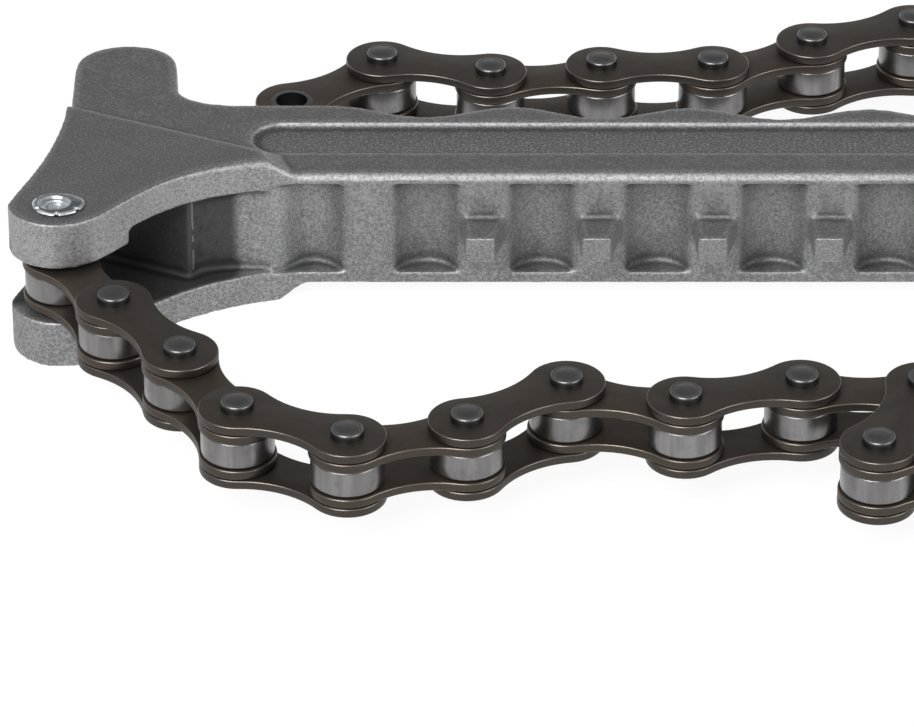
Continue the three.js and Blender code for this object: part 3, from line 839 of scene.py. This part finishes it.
def skin_of(solid, handle):
    """The casting's solid with its edges rounded and an uneven skin"""
    rough = bpy.data.objects.new("casting_blank", solid.data.copy())
    bpy.context.scene.collection.objects.link(rough)
    cells = rough.modifiers.new("cells", "REMESH")
    cells.mode = "VOXEL"
    cells.voxel_size = handle.cell
    rounding = rough.modifiers.new("rounding", "SMOOTH")
    rounding.factor = 0.5
    rounding.iterations = handle.rounding
    clouds = bpy.data.textures.new("casting_waves", "CLOUDS")
    clouds.noise_scale = handle.wave_size
    clouds.noise_depth = 2
    uneven = rough.modifiers.new("uneven", "DISPLACE")
    uneven.texture = clouds
    uneven.texture_coords = "LOCAL"
    uneven.strength = handle.waviness
    uneven.mid_level = 0.75
    graph = bpy.context.evaluated_depsgraph_get()
    mesh = bpy.data.meshes.new_from_object(rough.evaluated_get(graph))
    bpy.data.objects.remove(rough)
    mesh.name = "handle"
    mesh.shade_smooth()
    return mesh


def neighbour_mean(mesh):
    """A function that gives each vertex the mean of its neighbours' values"""
    edges = np.empty(len(mesh.edges) * 2, dtype=np.int64)
    mesh.edges.foreach_get("vertices", edges)
    first, second = edges.reshape(-1, 2).T
    ends = np.r_[first, second]
    count = len(mesh.vertices)
    degree = np.bincount(ends, minlength=count)

    def mean(values):
        sums = [
            np.bincount(ends, weights=np.r_[column[second], column[first]], minlength=count)
            for column in values.reshape(count, -1).T
        ]
        return (np.stack(sums, 1) / degree[:, None]).reshape(values.shape)

    return mean


def blurred(values, mean, times):
    """Values spread out over their neighbours so many times"""
    for _ in range(times):
        values = mean(values)
    return values


def round_off(mesh, mean, shares, times):
    """Moves each point towards its neighbours' mean, as far as its share says"""
    points = read_points(mesh)
    for _ in range(times):
        points += shares[:, None] * (mean(points) - points)
    mesh.vertices.foreach_set("co", points.ravel())
    mesh.update()


def write_layer(mesh, name, values):
    """Stores one value at each point, for the material to read"""
    layer = mesh.attributes.new(name, "FLOAT", "POINT")
    layer.data.foreach_set("value", values.astype(np.float32))


def front_line(x, y, counted, width, last=None):
    """The strip across the handle that each point is in, and where each strip's front lies"""
    strip = np.clip((x / width).astype(int), 0, last)
    front = np.full(strip.max() + 1, np.inf)
    np.minimum.at(front, strip[counted], y[counted])
    return strip, front


def soften_rim(mesh, mean, handle):
    """Rounds the upper front edge of neck and handle more than the other edges"""
    x, y, z = from_rivet(mesh)
    upper = z > HEAD_TOP / 2 + RIM_RISE
    last = int(handle.rim_end / handle.rim_width)
    strip, front = front_line(x, y, upper, handle.rim_width, last)
    ahead = upper & (y < front[strip] + RIM_DEPTH)
    top = np.full(len(front), -np.inf)
    np.maximum.at(top, strip[ahead], z[ahead])
    distance = np.hypot(y - front[strip], z - top[strip])
    near_shares = np.clip(RIM_FADE - distance / handle.rim_width, 0, 1)
    along_shares = np.clip((x - handle.rim_start) / handle.rim_ease, 0, 1) * (x < handle.rim_end)
    round_off(mesh, mean, near_shares * along_shares * upper, handle.rim_rounding)


def mark_relief(mesh, mean, handle):
    """Writes how far each point stands out (1) or lies in a hollow (-1) among its neighbours"""
    points = read_points(mesh)
    smooth = blurred(points, mean, handle.blur_spread)
    height = ((points - smooth) * read_points(mesh, "normal")).sum(1)
    write_layer(mesh, "relief", np.clip(height / handle.relief_height, -1, 1))


def mark_trough(mesh, handle):
    """Writes where the skin is coarse: the floors of the two long troughs"""
    x, y, _ = from_rivet(mesh)
    radius = handle.trough_width / 2
    middle = handle.trough_front + radius
    nearest = np.clip(x, handle.trough_start + radius, handle.trough_end)
    inside = radius - np.hypot(x - nearest, y - middle)
    write_layer(mesh, "coarse", np.clip(inside / TROUGH_BLUR, 0, 1))


def behind_lands(mesh, handle):
    """How deep points lie behind the lands, as shares of a notch, and 1 where notches are"""
    x, y, z = from_rivet(mesh)
    strip, front = front_line(x, y, z > RIVET_AXIS.z + handle.above_pegs, MM)
    window = round(handle.notch_reach / MM)
    lands = [front[max(0, i - window):i + window + 1].min() for i in range(len(front))]
    depth_shares = (y - np.array(lands)[strip]) / handle.notch_depth
    along_shares = np.clip((x - handle.first_notch) / handle.notch_depth, 0, 1)
    return depth_shares, along_shares * (depth_shares < WALL_SHARE)


def soften_notches(mesh, mean, handle):
    """Rounds the upright edges of the notches more than the other edges"""
    depth_shares, along_shares = behind_lands(mesh, handle)
    inside_shares = along_shares * (depth_shares > EDGE_SHARE)
    inside_shares = blurred(inside_shares, mean, handle.blur_spread)
    upright_shares = 1 - read_points(mesh, "normal")[:, 2] ** 2
    off_middle = np.abs(read_points(mesh)[:, 2] - RIVET_AXIS.z)
    between_shares = np.clip((handle.notch_height - off_middle) / MM, 0, 1)
    edge_shares = 4 * inside_shares * (1 - inside_shares)
    shares = edge_shares * upright_shares * between_shares
    round_off(mesh, mean, shares, handle.notch_rounding)


def mark_notches(mesh, mean, handle):
    """Writes how deep a point of the front wall lies behind the lands between the notches, for the
    painted shade there
    """
    depth_shares, along_shares = behind_lands(mesh, handle)
    below_land = (1 - LAND_SHARE) * np.clip(depth_shares, 0, 1)
    deep = (LAND_SHARE + below_land) * along_shares
    write_layer(mesh, "deep", blurred(deep, mean, handle.blur_spread))


def mark_slot(mesh, handle):
    """Writes where the walls inside the clevis slot get painted shade"""
    x, y, z = from_rivet(mesh)
    corner_x, corner_y = handle.slot_corner
    wall = corner_y + handle.slot_slope * np.maximum(0, corner_x - x)
    wall += handle.hollow_depth * (x > corner_x)
    along = (handle.slot_reach - x) / SHADE_BLUR + 0.5
    behind_mouth = (y - SHADE_SLOPE * x) / SHADE_BLUR
    before_wall = (wall + SHADE_OVERLAP - y) / SHADE_EDGE
    between = np.minimum(z - handle.slot_low, handle.slot_high - z) / SHADE_EDGE + 1
    dark = np.ones(len(x))
    for limit in (along, behind_mouth, before_wall, between):
        dark *= np.clip(limit, 0, 1)
    write_layer(mesh, "dark", dark)


def piece(name, mesh, material, place=None):
    """A shown object with one material, put where it belongs"""
    made = bpy.data.objects.new(name, mesh)
    if not mesh.materials:
        mesh.materials.append(material)
    bpy.context.scene.collection.objects.link(made)
    if place is not None:
        made.matrix_world = place
    return made


def link_place(number):
    """Where a link lies: its first pin at the origin, its second along X"""
    start, end = PIVOTS[number - 1], PIVOTS[number]
    heading = math.atan2(end.y - start.y, end.x - start.x)
    return Matrix.Translation(start) @ Matrix.Rotation(heading, 4, "Z")


class WRENCH_OT_handle(bpy.types.Operator):
    """Makes the cast handle"""
    bl_idname = "chain_wrench.handle"
    bl_label = "Cast handle"

    def execute(self, context):
        handle = context.scene.wrench_handle
        mesh = skin_of(frame["nodes"]["handle_casting"], handle)
        mean = neighbour_mean(mesh)
        soften_notches(mesh, mean, handle)
        soften_rim(mesh, mean, handle)
        mark_relief(mesh, mean, handle)
        mark_trough(mesh, handle)
        mark_notches(mesh, mean, handle)
        mark_slot(mesh, handle)
        mesh.materials.clear()
        made = piece("handle", mesh, cast_metal(handle))
        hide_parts("handle_casting")
        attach(made, "casting")
        return {"FINISHED"}


class WRENCH_OT_rivet(bpy.types.Operator):
    """Makes the rivet that holds the chain in the clevis"""
    bl_idname = "chain_wrench.rivet"
    bl_label = "Clevis rivet"

    def execute(self, context):
        rivet = context.scene.wrench_rivet
        made = piece("rivet", rivet_mesh(rivet), zinc_plate(rivet.zinc))
        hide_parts("clevis_rivet")
        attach(made, "casting")
        return {"FINISHED"}


class WRENCH_OT_outer_links(bpy.types.Operator):
    """Makes the outer links: two plates and two pins each"""
    bl_idname = "chain_wrench.outer_links"
    bl_label = "Outer links"

    def execute(self, context):
        chain = context.scene.wrench_chain
        plates = plates_mesh("outer_plates", chain, chain.outer_face, chain.pin_radius)
        pins = pins_mesh(chain)
        plate_material = plate_steel("outer_plate_steel", chain.outer_steel)
        pin_material = pin_steel(chain.pin_steel)
        for number in range(2, LINKS + 1, 2):
            place = link_place(number)
            for kind, mesh, material in (
                ("plates", plates, plate_material), ("pins", pins, pin_material),
            ):
                made = piece(f"outer_{kind}_{number:02d}", mesh, material, place)
                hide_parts(f"outer_link_{number:02d}")
                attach(made, f"link_{number:02d}")
        return {"FINISHED"}


class WRENCH_OT_inner_links(bpy.types.Operator):
    """Makes the inner links: two plates and two bushings each"""
    bl_idname = "chain_wrench.inner_links"
    bl_label = "Inner links"

    def execute(self, context):
        chain = context.scene.wrench_chain
        plates = plates_mesh("inner_plates", chain, chain.inner_face, chain.bushing_radius)
        bushings = bushings_mesh(chain)
        plate_material = plate_steel("inner_plate_steel", chain.inner_steel)
        pin_material = pin_steel(chain.pin_steel)
        for number in range(1, LINKS + 1, 2):
            place = link_place(number)
            for kind, mesh, material in (
                ("plates", plates, plate_material), ("bushings", bushings, pin_material),
            ):
                made = piece(f"inner_{kind}_{number:02d}", mesh, material, place)
                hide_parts(f"inner_link_{number:02d}")
                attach(made, f"link_{number:02d}")
        return {"FINISHED"}


class WRENCH_OT_rollers(bpy.types.Operator):
    """Makes two rollers for each inner link"""
    bl_idname = "chain_wrench.rollers"
    bl_label = "Rollers"

    def execute(self, context):
        chain = context.scene.wrench_chain
        mesh = roller_mesh(chain)
        material = roller_steel(chain.roller_steel)
        for number in range(1, LINKS + 1, 2):
            for end, x in (("a", 0), ("b", PITCH)):
                own = f"roller_{number:02d}{end}"
                place = link_place(number) @ Matrix.Translation((x, 0, 0))
                made = piece(f"{own}_skin", mesh, material, place)
                node = own if own in frame["nodes"] else f"inner_link_{number:02d}"
                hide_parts(node)
                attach(made, own if own in frame["bodies"] else f"link_{number:02d}")
        return {"FINISHED"}


class WRENCH_OT_stage(bpy.types.Operator):
    """Makes the floor with its low wall, the light and the camera"""
    bl_idname = "chain_wrench.stage"
    bl_label = "Stage"

    def execute(self, context):
        stage = context.scene.wrench_stage
        self.floor(stage)
        self.light(context, stage)
        self.camera(context, stage)
        return {"FINISHED"}

    def floor(self, stage):
        """A round floor that curves up into its low wall"""
        radius = stage.floor_radius
        profile = [(0, 0), (radius - COVE_RADIUS, 0)]
        for step in range(1, COVE_STEPS + 1):
            angle = math.pi / 2 * step / COVE_STEPS
            inset = COVE_RADIUS * (1 - math.sin(angle))
            profile.append((radius - inset, COVE_RADIUS * (1 - math.cos(angle))))
        profile.append((radius, stage.wall_height))
        bm = bmesh.new()
        turned(bm, profile)
        floor = piece("floor", mesh_from(bm, "floor"), white_stage(stage))

    def light(self, context, stage):
        """A soft light at the left, a weaker one at the right and a pale sky"""
        for name, strength, height, side in (
            ("key_light", stage.sun_strength, stage.sun_height, -stage.sun_side),
            ("fill_light", stage.fill_strength, stage.fill_height, stage.fill_side),
        ):
            sun = bpy.data.lights.new(name, "SUN")
            sun.energy = strength
            sun.angle = stage.sun_softness
            lamp = bpy.data.objects.new(name, sun)
            lamp.rotation_euler = (math.pi / 2 - height, 0, side)
            context.scene.collection.objects.link(lamp)
        world = bpy.data.worlds.new("sky")
        world.use_nodes = True
        world.node_tree.nodes["Background"].inputs["Color"].default_value = (stage.sky,) * 3 + (1,)
        context.scene.world = world

    def camera(self, context, stage):
        """The camera, which looks straight back and down"""
        data = bpy.data.cameras.new("camera")
        data.lens = stage.lens
        data.clip_end = SIGHT
        camera = bpy.data.objects.new("camera", data)
        foot = Vector((RIVET_AXIS.x, RIVET_AXIS.y, 0))
        camera.location = foot + Vector(stage.camera_place)
        camera.rotation_euler = (math.pi / 2 - stage.pitch, 0, 0)
        context.scene.collection.objects.link(camera)
        context.scene.camera = camera
        context.scene.view_settings.view_transform = "Standard"


class WRENCH_PT_pieces(bpy.types.Panel):
    """Lists the pieces that can be made"""
    bl_label = "Chain Wrench"
    bl_idname = "WRENCH_PT_pieces"
    bl_space_type = "VIEW_3D"
    bl_region_type = "UI"
    bl_category = "Chain Wrench"

    def draw(self, context):
        for operator in OPERATORS:
            self.layout.operator(operator.bl_idname)


SETTINGS = {
    "wrench_handle": HandleSettings,
    "wrench_rivet": RivetSettings,
    "wrench_chain": ChainSettings,
    "wrench_stage": StageSettings,
}
OPERATORS = (
    WRENCH_OT_stage,
    WRENCH_OT_handle,
    WRENCH_OT_rivet,
    WRENCH_OT_outer_links,
    WRENCH_OT_inner_links,
    WRENCH_OT_rollers,
)


def register():
    """Makes the settings, the operators and the panel known"""
    for group in SETTINGS.values():
        bpy.utils.register_class(group)
    for operator in OPERATORS:
        bpy.utils.register_class(operator)
    bpy.utils.register_class(WRENCH_PT_pieces)
    for name, group in SETTINGS.items():
        setattr(bpy.types.Scene, name, PointerProperty(type=group))


def unregister():
    """Takes them away again"""
    for name in SETTINGS:
        delattr(bpy.types.Scene, name)
    bpy.utils.unregister_class(WRENCH_PT_pieces)
    for operator in reversed(OPERATORS):
        bpy.utils.unregister_class(operator)
    for group in reversed(list(SETTINGS.values())):
        bpy.utils.unregister_class(group)


def main():
    """Makes the stage and every piece"""
    register()
    bpy.ops.chain_wrench.stage()
    bpy.ops.chain_wrench.handle()
    bpy.ops.chain_wrench.rivet()
    bpy.ops.chain_wrench.outer_links()
    bpy.ops.chain_wrench.inner_links()
    bpy.ops.chain_wrench.rollers()


if __name__ == "__main__":
    main()
